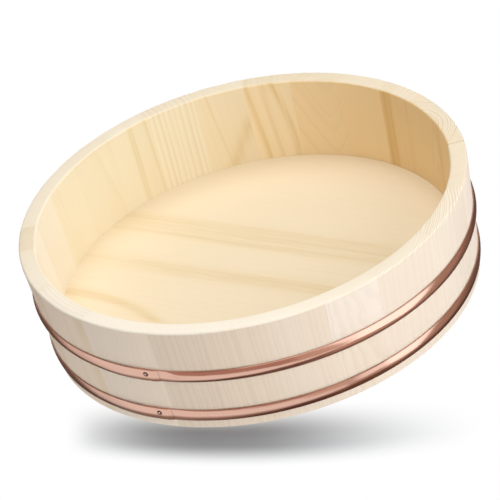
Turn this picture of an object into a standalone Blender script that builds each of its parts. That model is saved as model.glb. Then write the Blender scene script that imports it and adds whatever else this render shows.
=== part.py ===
"""Sushi rice tub (hangiri).

Tapered softwood staves of mixed widths stand in a ring, pegged edge to edge with
bamboo, and grip a boarded bottom in a groove cut round their inner faces. Two
crowned copper hoops bind the ring. The ends of each hoop lap, are pressed flat
there, and are held to the stave behind them by one nail.

Units are metres, +Z is up, and the origin is the centre of the base.
"""

import math

import bmesh
import bpy
from mathutils import Matrix, Vector

# Ring of staves
RIM_DIAMETER = 0.330
BASE_DIAMETER = 0.317
TUB_HEIGHT = 0.0862
WALL = 0.0124
RIM_ROUND = 0.0014
FOOT_CHAMFER = 0.0012
CLEARANCE = 0.0003

# Azimuths in degrees of the joints between staves, counter-clockwise from +X
STAVE_JOINTS = (
    -2.0, 26.5, 38.5, 53.0, 68.0, 81.5, 96.0, 111.0, 124.0, 139.0, 153.0,
    167.5, 178.5, 199.0, 218.5, 238.5, 262.0, 282.5, 297.0, 316.0, 337.0,
)

# Boarded bottom and the groove that holds it
FLOOR_HEIGHT = 0.0228
BOTTOM_THICKNESS = 0.013
BOTTOM_BEVEL = 0.006
GROOVE_DEPTH = 0.004
BOARD_AZIMUTH = -35.5
NEAR_BOARD_JOINT = -0.0762
MIDDLE_BOARD_JOINT = 0.0031
FAR_BOARD_JOINT = 0.0795

# Bamboo pegs in the joints
PEG_DIAMETER = 0.0035
PEG_LENGTH = 0.016
PEG_POINT = 0.0015
PEG_TIP_DIAMETER = 0.002
STAVE_PEG_HEIGHT = 0.060
BOARD_PEG_SPACING = 0.085
PEGS_PER_BOARD_JOINT = 3

# Copper hoops
HOOP_WIDTH = 0.0096
HOOP_THICKNESS = 0.0008
HOOP_CROWN = 0.0012
UPPER_HOOP_HEIGHT = 0.0467
LOWER_HOOP_HEIGHT = 0.0119
LAP_UNDER = 0.012
LAP_OVER = 0.010
LAP_RAMP = 0.014
PRESSED_LENGTH = 0.018
PRESSED_CROWN = 0.0002

# Nails through the laps
NAIL_AZIMUTH = 234.5
NAIL_RISE = 0.001
NAIL_DIAMETER = 0.0015
NAIL_LENGTH = 0.0065
NAIL_POINT = 0.0015
NAIL_TIP_DIAMETER = 0.0005
NAIL_HEAD_DIAMETER = 0.0034
NAIL_HEAD_HEIGHT = 0.0010

# Facets
STAVE_FACET = math.radians(3.5)
BOTTOM_FACETS = 120
HOOP_FACET = math.radians(4.0)
LAP_FACET = math.radians(1.5)
HOOP_STRIPS = 5
ROUND_STEPS = 3
PEG_SIDES = 8
NAIL_SIDES = 12
NAIL_DOME_STEPS = 3
SHARP_ANGLE = math.radians(35.0)

# Finishes: colours as linear RGB, roughness, and how far wood varies from piece to piece
STAVE_COLOUR = (0.86, 0.72, 0.53)
BOARD_COLOUR = (0.85, 0.69, 0.47)
BAMBOO_COLOUR = (0.62, 0.46, 0.22)
COPPER_COLOUR = (0.72, 0.36, 0.25)
NAIL_COLOUR = (0.50, 0.26, 0.19)
WOOD_ROUGHNESS = 0.6
METAL_ROUGHNESS = 0.3
TONE_SPREAD = 0.05
TONE_STEP = 2.4

TAPER = (RIM_DIAMETER - BASE_DIAMETER) / 2 / TUB_HEIGHT
BOARD_JOINTS = (NEAR_BOARD_JOINT, MIDDLE_BOARD_JOINT, FAR_BOARD_JOINT)


def outer_radius(z):
    """Radius of the tub's outer wall at a height."""
    return RIM_DIAMETER / 2 - TAPER * (TUB_HEIGHT - z)


def inner_radius(z):
    """Radius of the tub's inner wall at a height."""
    return outer_radius(z) - WALL


def polar(azimuth, radius, z):
    """Point at an azimuth, a distance from the tub's axis and a height."""
    return Vector((radius * math.cos(azimuth), radius * math.sin(azimuth), z))


def smoothstep(share):
    """Ease from 0 to 1 as the share goes from 0 to 1."""
    share = min(max(share, 0.0), 1.0)
    return share * share * (3 - 2 * share)


def quarter(centre_r, centre_z, radius, start):
    """Points of a quarter turn in the radius and height plane, counter-clockwise."""
    points = []
    for step in range(ROUND_STEPS + 1):
        angle = start + math.pi / 2 * step / ROUND_STEPS
        points.append((centre_r + radius * math.cos(angle), centre_z + radius * math.sin(angle)))
    return points


def clear_scene():
    """Remove every object that the scene starts with."""
    for obj in list(bpy.data.objects):
        bpy.data.objects.remove(obj, do_unlink=True)


def group(name, parent=None):
    """Add an empty that carries one sub-assembly."""
    empty = bpy.data.objects.new(name, None)
    empty.parent = parent
    bpy.context.scene.collection.objects.link(empty)
    return empty


def finish_material(name, colour, roughness, metallic=0.0):
    """Make a Principled material of one colour."""
    material = bpy.data.materials.new(name)
    material.use_nodes = True
    shader = material.node_tree.nodes["Principled BSDF"]
    shader.inputs["Base Color"].default_value = (*colour, 1.0)
    shader.inputs["Roughness"].default_value = roughness
    shader.inputs["Metallic"].default_value = metallic
    return material


def wood(name, colour, index):
    """Make a bare planed wood, a little lighter or darker from piece to piece."""
    tone = 1 + TONE_SPREAD * math.sin(TONE_STEP * index)
    return finish_material(name, tuple(channel * tone for channel in colour), WOOD_ROUGHNESS)


def copper(name, colour):
    """Make the satin copper of a hoop or a nail."""
    return finish_material(name, colour, METAL_ROUGHNESS, 1.0)


def mesh_from(bm, name):
    """Turn a bmesh into a smooth-shaded mesh whose faces point outwards."""
    bmesh.ops.recalc_face_normals(bm, faces=bm.faces)
    mesh = bpy.data.meshes.new(name)
    bm.to_mesh(mesh)
    bm.free()
    mesh.shade_smooth()
    mesh.set_sharp_from_angle(angle=SHARP_ANGLE)
    return mesh


def add_piece(name, mesh, material, parent, matrix=None):
    """Add a named piece under its sub-assembly, with its own material."""
    piece = bpy.data.objects.new(name, mesh)
    piece.parent = parent
    piece.matrix_local = matrix or Matrix.Identity(4)
    if not mesh.materials:
        mesh.materials.append(None)
    slot = piece.material_slots[0]
    slot.link = "OBJECT"
    slot.material = material
    bpy.context.scene.collection.objects.link(piece)
    return piece


def add_cutter(name, mesh, parent, matrix):
    """Add a hidden solid that Booleans subtract."""
    cutter = bpy.data.objects.new(name, mesh)
    cutter.parent = parent
    cutter.matrix_local = matrix
    cutter.display_type = "WIRE"
    cutter.hide_render = True
    bpy.context.scene.collection.objects.link(cutter)
    return cutter


def cut(piece, cutter):
    """Subtract a cutter from a piece."""
    modifier = piece.modifiers.new(cutter.name, "BOOLEAN")
    modifier.operation = "DIFFERENCE"
    modifier.solver = "EXACT"
    modifier.object = cutter


def loft(sections):
    """Skin a row of closed sections that have equal point counts, with both ends capped."""
    bm = bmesh.new()
    rings = [[bm.verts.new(point) for point in section] for section in sections]
    count = len(rings[0])
    for near, far in zip(rings, rings[1:]):
        for i in range(count):
            j = (i + 1) % count
            bm.faces.new((near[i], near[j], far[j], far[i]))
    bm.faces.new(rings[0])
    bm.faces.new(rings[-1])
    return bm


def turned(profile, sides):
    """Turn a profile of radius and height pairs round the Z axis, with flat ends."""
    sections = []
    for radius, z in profile:
        turn = [2 * math.pi * side / sides for side in range(sides)]
        sections.append([polar(azimuth, radius, z) for azimuth in turn])
    return loft(sections)


def aimed(origin, direction):
    """Matrix that stands a turned piece at a point with its axis along a direction."""
    turn = direction.to_track_quat("Z", "Y").to_matrix().to_4x4()
    return Matrix.Translation(origin) @ turn


def wall_profile():
    """Section of the wall as radius and height pairs: foot, outer face, rim, inner face and groove."""
    underside = FLOOR_HEIGHT - BOTTOM_THICKNESS
    groove_top = FLOOR_HEIGHT + CLEARANCE
    flank_top = underside + BOTTOM_BEVEL - CLEARANCE / 2
    flank_radius = inner_radius(flank_top) + GROOVE_DEPTH
    flank_foot = (inner_radius(0.0) + flank_top - flank_radius) / (1 - TAPER)
    shoulder = TUB_HEIGHT - RIM_ROUND
    profile = [
        (outer_radius(0.0) - FOOT_CHAMFER, 0.0),
        (outer_radius(FOOT_CHAMFER), FOOT_CHAMFER),
    ]
    profile += quarter(outer_radius(shoulder) - RIM_ROUND, shoulder, RIM_ROUND, 0.0)
    profile += quarter(inner_radius(shoulder) + RIM_ROUND, shoulder, RIM_ROUND, math.pi / 2)
    profile += [
        (inner_radius(groove_top), groove_top),
        (inner_radius(groove_top) + GROOVE_DEPTH, groove_top),
        (flank_radius, flank_top),
        (inner_radius(flank_foot), flank_foot),
        (inner_radius(FOOT_CHAMFER), FOOT_CHAMFER),
        (inner_radius(0.0) + FOOT_CHAMFER, 0.0),
    ]
    return profile


def stave_mesh(name, width):
    """One stave about azimuth 0, its edges planed to meet its neighbours at a joint."""
    profile = wall_profile()
    facets = math.ceil(width / STAVE_FACET)
    sections = []
    for facet in range(facets + 1):
        azimuth = width * (facet / facets - 0.5)
        across = Vector((-math.sin(azimuth), math.cos(azimuth), 0.0))
        planed = CLEARANCE / 2 * ((facet == 0) - (facet == facets))
        sections.append([polar(azimuth, r, z) + across * planed for r, z in profile])
    return mesh_from(loft(sections), name)


def build_staves(parent):
    """Stand the staves in a ring and return them with the azimuths of their joints."""
    joints = [math.radians(joint) for joint in STAVE_JOINTS]
    staves = []
    for index, start in enumerate(joints):
        end = joints[index + 1] if index + 1 < len(joints) else joints[0] + 2 * math.pi
        name = f"stave_{index + 1:02d}"
        turn = Matrix.Rotation((start + end) / 2, 4, "Z")
        material = wood(name, STAVE_COLOUR, index)
        staves.append(add_piece(name, stave_mesh(name, end - start), material, parent, turn))
    return staves, joints


def bottom_disc():
    """The whole bottom before it is cut into boards, bevelled underneath to a tongue."""
    underside = FLOOR_HEIGHT - BOTTOM_THICKNESS
    tongue = underside + BOTTOM_BEVEL
    reach = GROOVE_DEPTH - CLEARANCE
    profile = [
        (inner_radius(tongue) + reach - BOTTOM_BEVEL, underside),
        (inner_radius(tongue) + reach, tongue),
        (inner_radius(FLOOR_HEIGHT) + reach, FLOOR_HEIGHT),
    ]
    return turned(profile, BOTTOM_FACETS)


def trim(bm, distance, side):
    """Cut a board's blank along one joint and close the sawn edge."""
    result = bmesh.ops.bisect_plane(
        bm,
        geom=bm.verts[:] + bm.edges[:] + bm.faces[:],
        plane_co=(0.0, distance - side * CLEARANCE / 2, 0.0),
        plane_no=(0.0, side, 0.0),
        clear_outer=True,
    )
    sawn = [item for item in result["geom_cut"] if isinstance(item, bmesh.types.BMEdge)]
    bmesh.ops.contextual_create(bm, geom=sawn)


def build_boards(parent):
    """Lay the boards of the bottom side by side along the grain."""
    turn = Matrix.Rotation(math.radians(BOARD_AZIMUTH), 4, "Z")
    edges = [None, *BOARD_JOINTS, None]
    boards = []
    for index, (low, high) in enumerate(zip(edges, edges[1:])):
        bm = bottom_disc()
        if low is not None:
            trim(bm, low, -1)
        if high is not None:
            trim(bm, high, 1)
        name = f"bottom_board_{index + 1}"
        material = wood(name, BOARD_COLOUR, index)
        boards.append(add_piece(name, mesh_from(bm, name), material, parent, turn))
    return boards


def peg_mesh():
    """Bamboo peg along Z, centred on its length and pointed at both ends."""
    shoulder = PEG_LENGTH / 2 - PEG_POINT
    profile = [
        (PEG_TIP_DIAMETER / 2, -PEG_LENGTH / 2),
        (PEG_DIAMETER / 2, -shoulder),
        (PEG_DIAMETER / 2, shoulder),
        (PEG_TIP_DIAMETER / 2, PEG_LENGTH / 2),
    ]
    return mesh_from(turned(profile, PEG_SIDES), "bamboo_peg")


def peg_bore_mesh():
    """Hole for one peg, shared by the two pieces that it joins."""
    radius = PEG_DIAMETER / 2 + CLEARANCE
    reach = PEG_LENGTH / 2 + CLEARANCE
    return mesh_from(turned([(radius, -reach), (radius, reach)], PEG_SIDES), "peg_bore")


def peg_joint(name, index, meshes, parent, matrix, pieces):
    """Put one peg across a joint and bore both pieces for it."""
    peg, bore = meshes
    add_piece(name, peg, wood(name, BAMBOO_COLOUR, index), parent, matrix)
    cutter = add_cutter(f"{name}_bore", bore, parent, matrix)
    for piece in pieces:
        cut(piece, cutter)


def build_stave_pegs(parent, staves, joints, meshes):
    """Peg each stave to the one before it, at the middle of the wall."""
    radius = outer_radius(STAVE_PEG_HEIGHT) - WALL / 2
    for index, joint in enumerate(joints):
        across = Vector((-math.sin(joint), math.cos(joint), 0.0))
        matrix = aimed(polar(joint, radius, STAVE_PEG_HEIGHT), across)
        pieces = (staves[index - 1], staves[index])
        peg_joint(f"stave_peg_{index + 1:02d}", index, meshes, parent, matrix, pieces)


def build_board_pegs(parent, boards, meshes):
    """Peg each board to the next, at the middle of its thickness."""
    turn = Matrix.Rotation(math.radians(BOARD_AZIMUTH), 4, "Z")
    height = FLOOR_HEIGHT - BOTTOM_THICKNESS / 2
    for row, distance in enumerate(BOARD_JOINTS):
        for place in range(PEGS_PER_BOARD_JOINT):
            along = (place - (PEGS_PER_BOARD_JOINT - 1) / 2) * BOARD_PEG_SPACING
            matrix = turn @ aimed(Vector((along, distance, height)), Vector((0.0, 1.0, 0.0)))
            name = f"board_peg_{row + 1}_{place + 1}"
            pieces = (boards[row], boards[row + 1])
            peg_joint(name, row + place, meshes, parent, matrix, pieces)


def hoop_stations(height):
    """Azimuths along a hoop's strip from its covered end to its free end, closer near the nail."""
    radius = outer_radius(height)
    nail = math.radians(NAIL_AZIMUTH)
    start = nail - LAP_UNDER / radius
    end = nail + 2 * math.pi + LAP_OVER / radius
    near = PRESSED_LENGTH / radius
    stretches = (
        (start, nail + near, LAP_FACET),
        (nail + near, nail + 2 * math.pi - near, HOOP_FACET),
        (nail + 2 * math.pi - near, end, LAP_FACET),
    )
    stations = [start]
    for first, last, facet in stretches:
        steps = math.ceil((last - first) / facet)
        stations += [first + (last - first) * step / steps for step in range(1, steps + 1)]
    return stations


def hoop_section(azimuth, height):
    """Section of the crowned strip, lifted where it climbs over its own start and pressed flat at the nail."""
    radius = outer_radius(height)
    travelled = azimuth - math.radians(NAIL_AZIMUTH)
    climb_end = 2 * math.pi - LAP_UNDER / radius - LAP_FACET
    climbed = smoothstep((travelled - climb_end) * radius / LAP_RAMP + 1)
    lift = CLEARANCE + climbed * (HOOP_THICKNESS + CLEARANCE)
    from_nail = abs(math.remainder(travelled, 2 * math.pi)) * radius
    crown = PRESSED_CROWN + (HOOP_CROWN - PRESSED_CROWN) * smoothstep(from_nail / PRESSED_LENGTH)
    inner = []
    outer = []
    for strip in range(HOOP_STRIPS + 1):
        across = 2 * strip / HOOP_STRIPS - 1
        z = height + across * HOOP_WIDTH / 2
        base = outer_radius(z) + lift + crown * (1 - across * across)
        inner.append(polar(azimuth, base, z))
        outer.append(polar(azimuth, base + HOOP_THICKNESS, z))
    return inner + outer[::-1]


def nail_mesh():
    """Dome-headed nail along Z, its head's seat at height 0."""
    shank = NAIL_DIAMETER / 2
    head = NAIL_HEAD_DIAMETER / 2
    seated = NAIL_LENGTH + seat_height()
    profile = [
        (NAIL_TIP_DIAMETER / 2, -seated),
        (shank, NAIL_POINT - seated),
        (shank, 0.0),
    ]
    for step in range(NAIL_DOME_STEPS):
        angle = math.pi / 2 * step / NAIL_DOME_STEPS
        profile.append((head * math.cos(angle), NAIL_HEAD_HEIGHT * math.sin(angle)))
    return mesh_from(turned(profile, NAIL_SIDES), "hoop_nail")


def seat_height():
    """Height of the nail head's seat above the stave: two laid strips and the gaps between them."""
    return 3 * CLEARANCE + 2 * HOOP_THICKNESS + PRESSED_CROWN


def nail_bore_mesh():
    """Hole for a nail through both layers of the lap and into the stave, along Z from the stave's face."""
    radius = NAIL_DIAMETER / 2 + CLEARANCE
    depth = NAIL_LENGTH + CLEARANCE
    above = seat_height() + HOOP_CROWN
    return mesh_from(turned([(radius, -depth), (radius, above)], NAIL_SIDES), "nail_bore")


def stave_at(azimuth, staves, joints):
    """The stave that stands at an azimuth."""
    turned_on = (azimuth - joints[0]) % (2 * math.pi)
    passed = [joint for joint in joints if joint - joints[0] <= turned_on]
    return staves[len(passed) - 1]


def build_hoops(parent, staves, joints):
    """Bend both hoops round the staves and nail their laps."""
    nail, bore = nail_mesh(), nail_bore_mesh()
    azimuth = math.radians(NAIL_AZIMUTH)
    slope = math.atan(TAPER)
    outwards = polar(azimuth, math.cos(slope), -math.sin(slope))
    for name, height in (("upper_hoop", UPPER_HOOP_HEIGHT), ("lower_hoop", LOWER_HOOP_HEIGHT)):
        strip = loft([hoop_section(station, height) for station in hoop_stations(height)])
        hoop = add_piece(name, mesh_from(strip, name), copper(name, COPPER_COLOUR), parent)
        nailed = height + NAIL_RISE
        face = polar(azimuth, outer_radius(nailed), nailed)
        nail_name = f"{name}_nail"
        matrix = aimed(face + outwards * seat_height(), outwards)
        add_piece(nail_name, nail, copper(nail_name, NAIL_COLOUR), parent, matrix)
        cutter = add_cutter(f"{nail_name}_bore", bore, parent, aimed(face, outwards))
        cut(hoop, cutter)
        cut(stave_at(azimuth, staves, joints), cutter)


def main():
    """Build the tub from its staves inwards and outwards."""
    clear_scene()
    tub = group("rice_tub")
    wall = group("wall", tub)
    bottom = group("bottom", tub)
    binding = group("binding", tub)
    pegs = (peg_mesh(), peg_bore_mesh())
    staves, joints = build_staves(wall)
    boards = build_boards(bottom)
    build_stave_pegs(wall, staves, joints, pegs)
    build_board_pegs(bottom, boards, pegs)
    build_hoops(binding, staves, joints)


main()
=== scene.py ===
"""Looks of the sushi rice tub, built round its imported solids.

Planed softwood staves and floor boards with a solid grain, two crowned copper hoops
whose ends lap under a nail, and a pale studio. Units are metres, +Z is up, and the
origin is the centre of the base.
"""

import logging
import math
import random
from dataclasses import dataclass, field
from enum import Enum

import bmesh
import bpy
from mathutils import Matrix, Vector


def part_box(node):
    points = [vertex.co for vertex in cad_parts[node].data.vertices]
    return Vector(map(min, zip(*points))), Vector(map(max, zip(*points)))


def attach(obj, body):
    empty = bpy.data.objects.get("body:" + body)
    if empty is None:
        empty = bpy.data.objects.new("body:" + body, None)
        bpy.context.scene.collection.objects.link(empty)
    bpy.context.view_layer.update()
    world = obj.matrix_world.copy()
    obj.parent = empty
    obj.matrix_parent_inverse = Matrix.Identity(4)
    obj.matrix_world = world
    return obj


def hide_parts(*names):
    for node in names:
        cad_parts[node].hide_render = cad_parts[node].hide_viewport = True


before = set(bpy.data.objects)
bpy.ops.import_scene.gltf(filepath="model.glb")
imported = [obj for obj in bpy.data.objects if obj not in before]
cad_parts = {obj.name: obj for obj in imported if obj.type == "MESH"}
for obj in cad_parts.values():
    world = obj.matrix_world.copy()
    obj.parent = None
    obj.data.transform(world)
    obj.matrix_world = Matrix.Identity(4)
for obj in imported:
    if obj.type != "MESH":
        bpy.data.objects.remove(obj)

BODY = "root"
MERGE = 1e-6
SHARP = math.radians(40)
HALF_SOLID_GAP = 0.00015
NAIL_AZIMUTH = math.radians(234.5)
LOG = logging.getLogger("rice_tub")

Range = tuple[float, float]
Triple = tuple[float, float, float]
Colour = Triple


class Signal:
    """One output socket of a node, with arithmetic that adds Math nodes to its tree."""

    def __init__(self, graph: "NodeGraph", socket: bpy.types.NodeSocket) -> None:
        """Wrap a socket of a graph's tree."""
        self.graph = graph
        self.socket = socket

    def maths(self, operation: str, *others: "Signal | float") -> "Signal":
        """Add a Math node on this signal and others."""
        return self.graph.maths(operation, self, *others)

    def __add__(self, other: "Signal | float") -> "Signal":
        """Sum."""
        return self.maths("ADD", other)

    def __sub__(self, other: "Signal | float") -> "Signal":
        """Difference."""
        return self.maths("SUBTRACT", other)

    def __rsub__(self, other: float) -> "Signal":
        """Difference from a number on the left."""
        return self.graph.maths("SUBTRACT", other, self)

    def __mul__(self, other: "Signal | float") -> "Signal":
        """Product."""
        return self.maths("MULTIPLY", other)

    def __truediv__(self, other: "Signal | float") -> "Signal":
        """Quotient."""
        return self.maths("DIVIDE", other)

    def __rtruediv__(self, other: float) -> "Signal":
        """Quotient of a number on the left."""
        return self.graph.maths("DIVIDE", other, self)

    def __pow__(self, other: "Signal | float") -> "Signal":
        """Power."""
        return self.maths("POWER", other)

    def __abs__(self) -> "Signal":
        """Absolute value."""
        return self.maths("ABSOLUTE")

    __radd__ = __add__
    __rmul__ = __mul__

    def ramp(self, low: "Signal | float", high: "Signal | float", smooth: bool = True) -> "Signal":
        """Go from 0 to 1 between two values, and stay there.

        Args:
            low: value at which the result is 0.
            high: value at which the result is 1.
            smooth: ease in and out, rather than go straight.

        Returns:
            The eased share.
        """
        kind = "SMOOTHSTEP" if smooth else "LINEAR"
        values = {"Value": self, "From Min": low, "From Max": high}
        return self.graph.node("ShaderNodeMapRange", {"interpolation_type": kind}, values)

    def output(self, name: str | int) -> "Signal":
        """Another output of the same node."""
        return Signal(self.graph, self.socket.node.outputs[name])


class NodeGraph:
    """A node tree that is written as expressions on signals."""

    def __init__(self, tree: bpy.types.NodeTree) -> None:
        """Wrap a node tree."""
        self.tree = tree

    def node(
        self,
        kind: str,
        settings: dict | None = None,
        inputs: dict | None = None,
        output: str | int = 0,
    ) -> Signal:
        """Add a node.

        Args:
            kind: the node's type name.
            settings: attributes that are set first. "items" is how many an Index Switch has.
            inputs: values or signals by socket name or number.
            output: which output to return.

        Returns:
            The chosen output.
        """
        made = self.tree.nodes.new(kind)
        for name, value in (settings or {}).items():
            if name == "items":
                while len(made.index_switch_items) < value:
                    made.index_switch_items.new()
            else:
                setattr(made, name, value)
        for key, value in (inputs or {}).items():
            self.feed(made.inputs[key], value)
        return Signal(self, made.outputs[output])

    def feed(self, socket: bpy.types.NodeSocket, value: Signal | float | tuple) -> None:
        """Link a signal to a socket, or set the socket's own value.

        Args:
            socket: an input of one of the tree's nodes.
            value: what it gets.
        """
        if isinstance(value, Signal):
            self.tree.links.new(value.socket, socket)
        else:
            socket.default_value = value

    def maths(self, operation: str, *operands: Signal | float) -> Signal:
        """Add a Math node on some operands."""
        return self.node("ShaderNodeMath", {"operation": operation}, dict(enumerate(operands)))

    def combine(self, x: Signal | float, y: Signal | float, z: Signal | float = 0.0) -> Signal:
        """Make a vector of three values."""
        return self.node("ShaderNodeCombineXYZ", None, {"X": x, "Y": y, "Z": z})

    def separate(self, vector: Signal) -> tuple[Signal, Signal, Signal]:
        """Split a vector into its three values."""
        x = self.node("ShaderNodeSeparateXYZ", None, {"Vector": vector})
        return x, x.output("Y"), x.output("Z")

    def vector(self, operation: str, first: Signal, second: Signal | tuple) -> Signal:
        """Add a Vector Math node on two vectors."""
        return self.node("ShaderNodeVectorMath", {"operation": operation}, {0: first, 1: second})

    def length(self, vector: Signal) -> Signal:
        """Length of a vector."""
        return self.node("ShaderNodeVectorMath", {"operation": "LENGTH"}, {0: vector}, "Value")


@dataclass(frozen=True)
class Noise:
    """A noise with its waves per metre, or per radian, along three axes."""

    stretch: Triple
    detail: float = 2.0
    roughness: float = 0.5


class MaterialGraph(NodeGraph):
    """A material's nodes, ending in one Principled shader unless another is shown."""

    MIX_FACTOR, MIX_A, MIX_B, MIX_RESULT = 0, 6, 7, 2

    def __init__(self, name: str) -> None:
        """Start a material with nothing but its shader.

        Args:
            name: the material's name.
        """
        self.material = bpy.data.materials.new(name)
        self.material.use_nodes = True
        super().__init__(self.material.node_tree)
        self.shader = self.tree.nodes["Principled BSDF"]

    def place(self) -> Signal:
        """Object coordinates."""
        return self.node("ShaderNodeTexCoord", output="Object")

    def noise(self, place: Signal, noise: Noise) -> Signal:
        """Read a noise.

        Args:
            place: where it is read.
            noise: its waves.

        Returns:
            The noise's value, about 0.5 on average.
        """
        values = {"Detail": noise.detail, "Roughness": noise.roughness, "Scale": 1.0}
        values["Vector"] = self.vector("MULTIPLY", place, noise.stretch)
        return self.node("ShaderNodeTexNoise", None, values)

    def mix(self, share: Signal, first: Signal | Colour, second: Signal | Colour) -> Signal:
        """Mix two colours.

        Args:
            share: how much of the second colour shows.
            first: colour at a share of 0.
            second: colour at a share of 1.

        Returns:
            The mixed colour.
        """
        values = {self.MIX_FACTOR: share}
        for key, colour in ((self.MIX_A, first), (self.MIX_B, second)):
            values[key] = colour if isinstance(colour, Signal) else (*colour, 1.0)
        return self.node("ShaderNodeMix", {"data_type": "RGBA"}, values, self.MIX_RESULT)

    def shade(self, **values: Signal | float) -> None:
        """Set or link the shader's sockets, with underscores for the spaces in their names."""
        for name, value in values.items():
            self.feed(self.shader.inputs[name.replace("_", " ")], value)

    def relief(self, height: Signal, depth: float, strength: float) -> None:
        """Raise the surface's normals by a height."""
        values = {"Height": height, "Distance": depth, "Strength": strength}
        self.shade(Normal=self.node("ShaderNodeBump", None, values))

    def show(self, shader: Signal) -> None:
        """End in another shader in place of the Principled one."""
        self.tree.nodes.remove(self.shader)
        self.feed(self.tree.nodes["Material Output"].inputs["Surface"], shader)


class Recipe(NodeGraph):
    """A Geometry Nodes tree with named sizes, run into plain meshes."""

    FINISH = "finish"

    def __init__(self, name: str) -> None:
        """Start an empty tree.

        Args:
            name: the tree's name.
        """
        super().__init__(bpy.data.node_groups.new(name, "GeometryNodeTree"))
        self.tree.interface.new_socket("Mesh", in_out="OUTPUT", socket_type="NodeSocketGeometry")
        self.entry = self.tree.nodes.new("NodeGroupInput")
        self.identifiers: dict[str, str] = {}

    def named(self, name: str, kind: str = "Float") -> Signal:
        """Add an input that is labelled with a size's name.

        Args:
            name: the size's name.
            kind: what the input takes, such as Float or Vector.

        Returns:
            The input's value in the tree.
        """
        label = name.replace("_", " ").capitalize()
        kind = f"NodeSocket{kind}"
        socket = self.tree.interface.new_socket(label, in_out="INPUT", socket_type=kind)
        self.identifiers[name] = socket.identifier
        return Signal(self, self.entry.outputs[label])

    def sizes(self, *names: str) -> list[Signal]:
        """Add a number for each size, and return them in order."""
        return [self.named(name) for name in names]

    def shape(self, kind: str, settings: dict | None = None, **inputs: Signal | float) -> Signal:
        """Add a geometry node, with underscores for the spaces in its sockets' names."""
        values = {name.replace("_", " "): value for name, value in inputs.items()}
        return self.node(f"GeometryNode{kind}", settings, values)

    def deliver(self, geometry: Signal) -> None:
        """End the tree in realised, finished geometry.

        Args:
            geometry: what the tree has built.
        """
        finish = self.named(self.FINISH, "Material")
        real = self.shape("RealizeInstances", Geometry=geometry)
        done = self.shape("SetMaterial", Geometry=real, Material=finish)
        self.feed(self.tree.nodes.new("NodeGroupOutput").inputs["Mesh"], done)

    def run(
        self, name: str, finish: bpy.types.Material, owner: object, **others: float | Vector
    ) -> bpy.types.Object:
        """Make one piece.

        Args:
            name: the piece's name.
            finish: its material.
            owner: the sub-assembly whose fields are the named sizes.
            others: the named inputs that aren't fields of it.

        Returns:
            An object with a plain mesh and no modifier.
        """
        maker = add(f"{name}_maker", bpy.data.meshes.new(f"{name}_seed"))
        modifier = maker.modifiers.new("recipe", "NODES")
        modifier.node_group = self.tree
        values = {**vars(owner), **others, self.FINISH: finish}
        for size, identifier in self.identifiers.items():
            modifier[identifier] = values[size]
        evaluated = maker.evaluated_get(bpy.context.evaluated_depsgraph_get())
        mesh = bpy.data.meshes.new_from_object(evaluated)
        bpy.data.objects.remove(maker)
        return place_piece(name, mesh)


def add(name: str, data: bpy.types.ID) -> bpy.types.Object:
    """Put a new object into the scene.

    Args:
        name: the object's name.
        data: its mesh, light or camera.

    Returns:
        The object.
    """
    made = bpy.data.objects.new(name, data)
    bpy.context.scene.collection.objects.link(made)
    return made


def mesh_from(name: str, bm: bmesh.types.BMesh) -> bpy.types.Mesh:
    """Turn a BMesh into a mesh, and free it.

    Args:
        name: the mesh's name.
        bm: the BMesh.

    Returns:
        The mesh.
    """
    mesh = bpy.data.meshes.new(name)
    bm.to_mesh(mesh)
    bm.free()
    return mesh


def place_piece(name: str, mesh: bpy.types.Mesh) -> bpy.types.Object:
    """Put a mesh into the scene, closed, facing outwards and shaded smooth.

    Args:
        name: the piece's name.
        mesh: its mesh, in the tub's frame.

    Returns:
        The piece's object, at the origin.
    """
    bm = bmesh.new()
    bm.from_mesh(mesh)
    bmesh.ops.remove_doubles(bm, verts=bm.verts, dist=MERGE)
    bmesh.ops.recalc_face_normals(bm, faces=bm.faces)
    if bm.calc_volume(signed=True) < 0:
        bmesh.ops.reverse_faces(bm, faces=bm.faces)
    bm.to_mesh(mesh)
    bm.free()
    mesh.name = name
    mesh.shade_smooth()
    mesh.set_sharp_from_angle(angle=SHARP)
    return add(name, mesh)


def stand_for(piece: bpy.types.Object, slot: str, *nodes: str) -> None:
    """Let a piece ride on the tub in place of its solids, and report it.

    Args:
        piece: the dressed piece.
        slot: its material slot; not used.
        nodes: the solids that it replaces.
    """
    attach(piece, BODY)
    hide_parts(*nodes)
    LOG.info("%s stands for %s: %d faces", piece.name, ", ".join(nodes), len(piece.data.polygons))


def node_points(name: str) -> list[Vector]:
    """Points of one of the frame's solids."""
    return [vertex.co.copy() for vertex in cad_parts[name].data.vertices]


def bearing(azimuth: float, elevation: float = 0.0) -> Vector:
    """Unit vector at an azimuth and an elevation."""
    level = math.cos(elevation)
    return Vector((math.cos(azimuth) * level, math.sin(azimuth) * level, math.sin(elevation)))


class Cut(Enum):
    """How a board was sawn from its log: the bearing of the pith from the board's outer face."""

    FLAT = 0.0
    RIFT = math.radians(50)
    QUARTER = math.radians(84)


@dataclass(frozen=True)
class Streak:
    """A brown streak along a board, in the board's own frame: across it and along its grain."""

    FADE_FROM = 0.4

    across: float
    width: float
    strength: float
    lean: float = 0.0
    bow: float = 0.0
    along: float = 0.0
    reach: float = 0.3

    def mask(self, across: Signal, along: Signal) -> Signal:
        """Where the streak lies.

        Args:
            across: place across the board.
            along: place along its grain.

        Returns:
            The streak's strength at each point.
        """
        run = along - self.along
        off = (across - self.across - run * self.lean - run * run * self.bow) / self.width
        fade = 1.0 - abs(run).ramp(self.FADE_FROM * self.reach, self.reach)
        return (-1.0 * (off * off)).maths("EXPONENT") * fade * self.strength


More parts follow.
